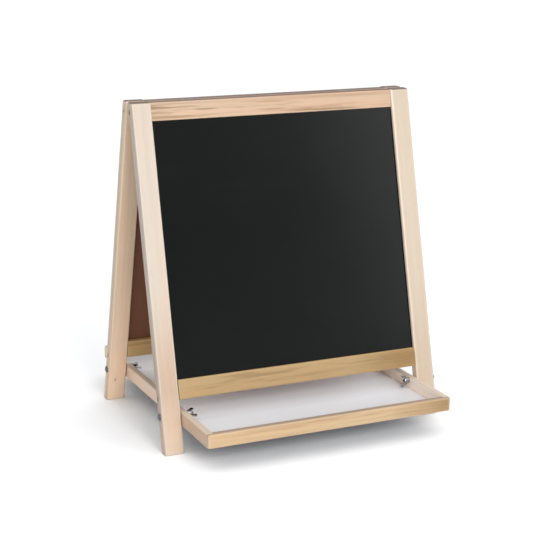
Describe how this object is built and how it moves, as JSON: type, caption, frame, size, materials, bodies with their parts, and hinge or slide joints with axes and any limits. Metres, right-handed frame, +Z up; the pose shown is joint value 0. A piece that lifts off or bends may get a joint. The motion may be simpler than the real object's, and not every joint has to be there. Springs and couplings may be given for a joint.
{
  "type": "two-sided tabletop easel",
  "caption": "Folding A-frame tabletop easel with a black writing board on each side and a shallow tray bolted through the legs with wing nuts.",
  "frame": {"origin": "on the table, midway between the four feet", "axes": "+Z up, -Y towards the front board's viewer, +X to that viewer's right"},
  "size_m": [0.535, 0.528, 0.575],
  "materials": {
    "leg_wood": "clear satin lacquer on pale close-grained wood",
    "rail_wood": "clear satin lacquer on tan wood with darker streaks along the grain",
    "tray_rail_wood": "clear satin lacquer on golden wood",
    "tray_side_wood": "clear satin lacquer on pale wood",
    "chalkboard": "matt black writing paint on brown hardboard, bare on the back",
    "white_board": "white coated hardboard, satin",
    "zinc_steel": "bright zinc plate",
    "screw_steel": "dull plated steel",
    "hinge_steel": "plain plated steel"
  },
  "bodies": {
    "front_frame": {"bolt_front_left": "zinc_steel", "bolt_front_right": "zinc_steel", "front_board": "chalkboard", "front_leg_left": "leg_wood", "front_leg_right": "leg_wood", "front_lower_rail": "rail_wood", "front_top_rail": "rail_wood", "hinge_leaf_front_left": "hinge_steel", "hinge_leaf_front_right": "hinge_steel", "hinge_pin_left": "hinge_steel", "hinge_pin_right": "hinge_steel", "hinge_screw_front_left_a": "hinge_steel", "hinge_screw_front_left_b": "hinge_steel", "hinge_screw_front_right_a": "hinge_steel", "hinge_screw_front_right_b": "hinge_steel", "leg_screw_front_left_lower": "screw_steel", "leg_screw_front_left_top": "screw_steel", "leg_screw_front_right_lower": "screw_steel", "leg_screw_front_right_top": "screw_steel"},
    "rear_frame": {"bolt_rear_head_left": "zinc_steel", "bolt_rear_head_right": "zinc_steel", "hinge_leaf_rear_left": "hinge_steel", "hinge_leaf_rear_right": "hinge_steel", "hinge_screw_rear_left_a": "hinge_steel", "hinge_screw_rear_left_b": "hinge_steel", "hinge_screw_rear_right_a": "hinge_steel", "hinge_screw_rear_right_b": "hinge_steel", "leg_screw_rear_left_lower": "screw_steel", "leg_screw_rear_left_top": "screw_steel", "leg_screw_rear_right_lower": "screw_steel", "leg_screw_rear_right_top": "screw_steel", "rear_board": "chalkboard", "rear_leg_left": "leg_wood", "rear_leg_right": "leg_wood", "rear_lower_rail": "rail_wood", "rear_top_rail": "rail_wood"},
    "tray": {"bolt_rear_end_left": "zinc_steel", "bolt_rear_end_right": "zinc_steel", "tray_nail_front_left": "screw_steel", "tray_nail_front_right": "screw_steel", "tray_nail_rear_left": "screw_steel", "tray_nail_rear_right": "screw_steel", "tray_panel": "white_board", "tray_rail_front": "tray_rail_wood", "tray_rail_rear": "tray_rail_wood", "tray_side_left": "tray_side_wood", "tray_side_right": "tray_side_wood", "washer_front_left": "zinc_steel", "washer_front_right": "zinc_steel", "washer_rear_left": "zinc_steel", "washer_rear_right": "zinc_steel"},
    "wing_nut_front_left": {"wing_nut_front_left": "zinc_steel"},
    "wing_nut_front_right": {"wing_nut_front_right": "zinc_steel"},
    "wing_nut_rear_left": {"wing_nut_rear_left": "zinc_steel"},
    "wing_nut_rear_right": {"wing_nut_rear_right": "zinc_steel"}
  },
  "joints": [
    {"name": "frame_fold", "type": "hinge", "parent": "front_frame", "child": "rear_frame", "pos_m": [0, 0, 0.5714], "axis": [-1, 0, 0], "range_deg": [0, 27.7]},
    {"name": "tray_tilt", "type": "hinge", "parent": "front_frame", "child": "tray", "pos_m": [0, -0.13888, 0.062], "axis": [1, 0, 0], "range_deg": [-6, 0]},
    {"name": "wing_nut_front_left_spin", "type": "hinge", "parent": "tray", "child": "wing_nut_front_left", "pos_m": [-0.2104, -0.13888, 0.062], "axis": [1, 0, 0], "continuous": true},
    {"name": "wing_nut_front_right_spin", "type": "hinge", "parent": "tray", "child": "wing_nut_front_right", "pos_m": [0.2104, -0.13888, 0.062], "axis": [1, 0, 0], "continuous": true},
    {"name": "wing_nut_rear_left_spin", "type": "hinge", "parent": "tray", "child": "wing_nut_rear_left", "pos_m": [-0.2104, 0.13888, 0.062], "axis": [1, 0, 0], "continuous": true},
    {"name": "wing_nut_rear_right_spin", "type": "hinge", "parent": "tray", "child": "wing_nut_rear_right", "pos_m": [0.2104, 0.13888, 0.062], "axis": [1, 0, 0], "continuous": true}
  ]
}
